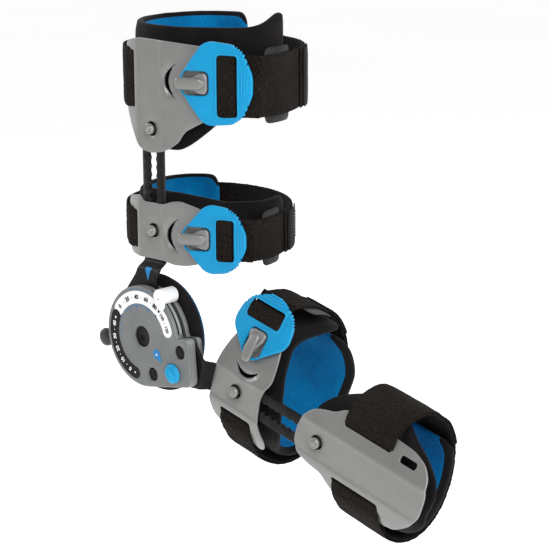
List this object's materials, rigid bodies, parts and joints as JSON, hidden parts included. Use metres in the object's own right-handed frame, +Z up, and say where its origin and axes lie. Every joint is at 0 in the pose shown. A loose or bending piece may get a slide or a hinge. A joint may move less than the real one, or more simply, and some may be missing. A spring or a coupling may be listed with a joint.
{
  "type": "knee brace",
  "caption": "Hinged post-operative knee brace: flat upright bars on a round dial hinge, with sliding shells, padded liners and buckled straps that close round the thigh and calf.",
  "frame": {"origin": "centre of the knee pad's skin face, on the knee hinge's axis", "axes": "+Y into the leg, along the knee axis; +Z up the thigh bar; +X towards the back of the knee. The calf bar is flexed 76.2 degrees from straight"},
  "size_m": [0.3956, 0.1735, 0.3933],
  "materials": {
    "grey_shell": "satin",
    "grey_cover": "satin",
    "black_bar": "satin",
    "black_plastic": "satin",
    "white_plastic": "satin",
    "blue_plastic": "satin",
    "steel": "satin",
    "strap_fabric": "matte",
    "pad_foam": "matte",
    "blue_lining": "matte"
  },
  "bodies": {
    "thigh_upright": {"thigh_bar": "black_bar", "pivot_barrel": "steel", "bearing_washer": "white_plastic", "knee_pad_plate": "black_plastic", "knee_pad": "pad_foam", "knee_pad_lining": "blue_lining", "flexion_pointer": "blue_plastic"},
    "calf_upright": {"calf_bar": "black_bar", "front_cover": "grey_cover", "rear_cover": "grey_cover", "flexion_scale": "white_plastic", "extension_scale": "black_plastic", "lock_mark": "blue_plastic", "lower_rivet": "black_bar", "upper_rivet": "black_bar"},
    "flexion_stop": {"flexion_slider": "white_plastic", "flexion_lever": "steel"},
    "extension_stop": {"extension_knob": "black_plastic", "extension_lever": "steel"},
    "drop_lock": {"lock_knob": "blue_plastic", "lock_retainer": "steel"},
    "upper_thigh_cuff": {"upper_thigh_shell": "grey_shell", "upper_thigh_bar_keeper": "black_plastic", "upper_thigh_button_spring": "steel", "upper_thigh_liner": "blue_lining", "upper_thigh_strap": "strap_fabric", "upper_thigh_strap_end": "strap_fabric", "upper_thigh_keeper_tab": "black_plastic"},
    "upper_thigh_push_button": {"upper_thigh_button": "steel"},
    "upper_thigh_clip": {"upper_thigh_buckle": "blue_plastic", "upper_thigh_strap_fold": "strap_fabric"},
    "lower_thigh_cuff": {"lower_thigh_shell": "grey_shell", "lower_thigh_bar_keeper": "black_plastic", "lower_thigh_button_spring": "steel", "lower_thigh_liner": "blue_lining", "lower_thigh_strap": "strap_fabric", "lower_thigh_strap_end": "strap_fabric", "lower_thigh_keeper_tab": "black_plastic"},
    "lower_thigh_push_button": {"lower_thigh_button": "steel"},
    "lower_thigh_clip": {"lower_thigh_buckle": "blue_plastic", "lower_thigh_strap_fold": "strap_fabric"},
    "upper_calf_cuff": {"upper_calf_shell": "grey_shell", "upper_calf_bar_keeper": "black_plastic", "upper_calf_button_spring": "steel", "upper_calf_liner": "blue_lining", "upper_calf_strap": "strap_fabric", "upper_calf_strap_end": "strap_fabric", "upper_calf_keeper_tab": "black_plastic"},
    "upper_calf_push_button": {"upper_calf_button": "steel"},
    "upper_calf_clip": {"upper_calf_buckle": "blue_plastic", "upper_calf_strap_fold": "strap_fabric"},
    "lower_calf_cuff": {"lower_calf_shell": "grey_shell", "lower_calf_bar_keeper": "black_plastic", "lower_calf_button_spring": "steel", "lower_calf_liner": "blue_lining", "lower_calf_strap": "strap_fabric", "lower_calf_strap_end": "strap_fabric"},
    "lower_calf_push_button": {"lower_calf_button": "steel"}
  },
  "joints": [
    {"name": "knee_flexion", "type": "hinge", "parent": "thigh_upright", "child": "calf_upright", "pos_m": [0, 0, 0], "axis": [0, -1, 0], "range_deg": [-76.2, 8]},
    {"name": "flexion_limit", "type": "hinge", "parent": "calf_upright", "child": "flexion_stop", "pos_m": [0, 0, 0], "axis": [0, 1, 0], "range_deg": [-10, 36]},
    {"name": "extension_limit", "type": "hinge", "parent": "calf_upright", "child": "extension_stop", "pos_m": [0, 0, 0], "axis": [0, 1, 0], "range_deg": [-29, 40]},
    {"name": "drop_lock_slide", "type": "slide", "parent": "calf_upright", "child": "drop_lock", "axis": [-0.8494, 0, 0.5278], "range_m": [0, 0.005]},
    {"name": "upper_thigh_cuff_slide", "type": "slide", "parent": "thigh_upright", "child": "upper_thigh_cuff", "axis": [0, 0, 1], "range_m": [-0.0071, 0.0426]},
    {"name": "upper_thigh_button_press", "type": "slide", "parent": "upper_thigh_cuff", "child": "upper_thigh_push_button", "axis": [0, 1, 0], "range_m": [0, 0.0016], "stiffness_N_per_m": 500},
    {"name": "upper_thigh_clip_release", "type": "hinge", "parent": "upper_thigh_cuff", "child": "upper_thigh_clip", "pos_m": [0.03325, -0.0098, 0.2145], "axis": [0, 0, -1], "range_deg": [0, 20]},
    {"name": "lower_thigh_cuff_slide", "type": "slide", "parent": "thigh_upright", "child": "lower_thigh_cuff", "axis": [0, 0, 1], "range_m": [0, 0.0142]},
    {"name": "lower_thigh_button_press", "type": "slide", "parent": "lower_thigh_cuff", "child": "lower_thigh_push_button", "axis": [0, 1, 0], "range_m": [0, 0.0016], "stiffness_N_per_m": 500},
    {"name": "lower_thigh_clip_release", "type": "hinge", "parent": "lower_thigh_cuff", "child": "lower_thigh_clip", "pos_m": [0.03325, -0.0098, 0.087], "axis": [0, 0, -1], "range_deg": [0, 20]},
    {"name": "upper_calf_cuff_slide", "type": "slide", "parent": "calf_upright", "child": "upper_calf_cuff", "axis": [0.9711, 0, -0.2385], "range_m": [0, 0.0142]},
    {"name": "upper_calf_button_press", "type": "slide", "parent": "upper_calf_cuff", "child": "upper_calf_push_button", "axis": [0, 1, 0], "range_m": [0, 0.0016], "stiffness_N_per_m": 500},
    {"name": "upper_calf_clip_release", "type": "hinge", "parent": "upper_calf_cuff", "child": "upper_calf_clip", "pos_m": [0.10818, -0.0098, 0.00025], "axis": [0.9711, 0, -0.2385], "range_deg": [0, 20]},
    {"name": "lower_calf_cuff_slide", "type": "slide", "parent": "calf_upright", "child": "lower_calf_cuff", "axis": [0.9711, 0, -0.2385], "range_m": [-0.0071, 0.0426]},
    {"name": "lower_calf_button_press", "type": "slide", "parent": "lower_calf_cuff", "child": "lower_calf_push_button", "axis": [0, 1, 0], "range_m": [0, 0.0016], "stiffness_N_per_m": 500}
  ]
}
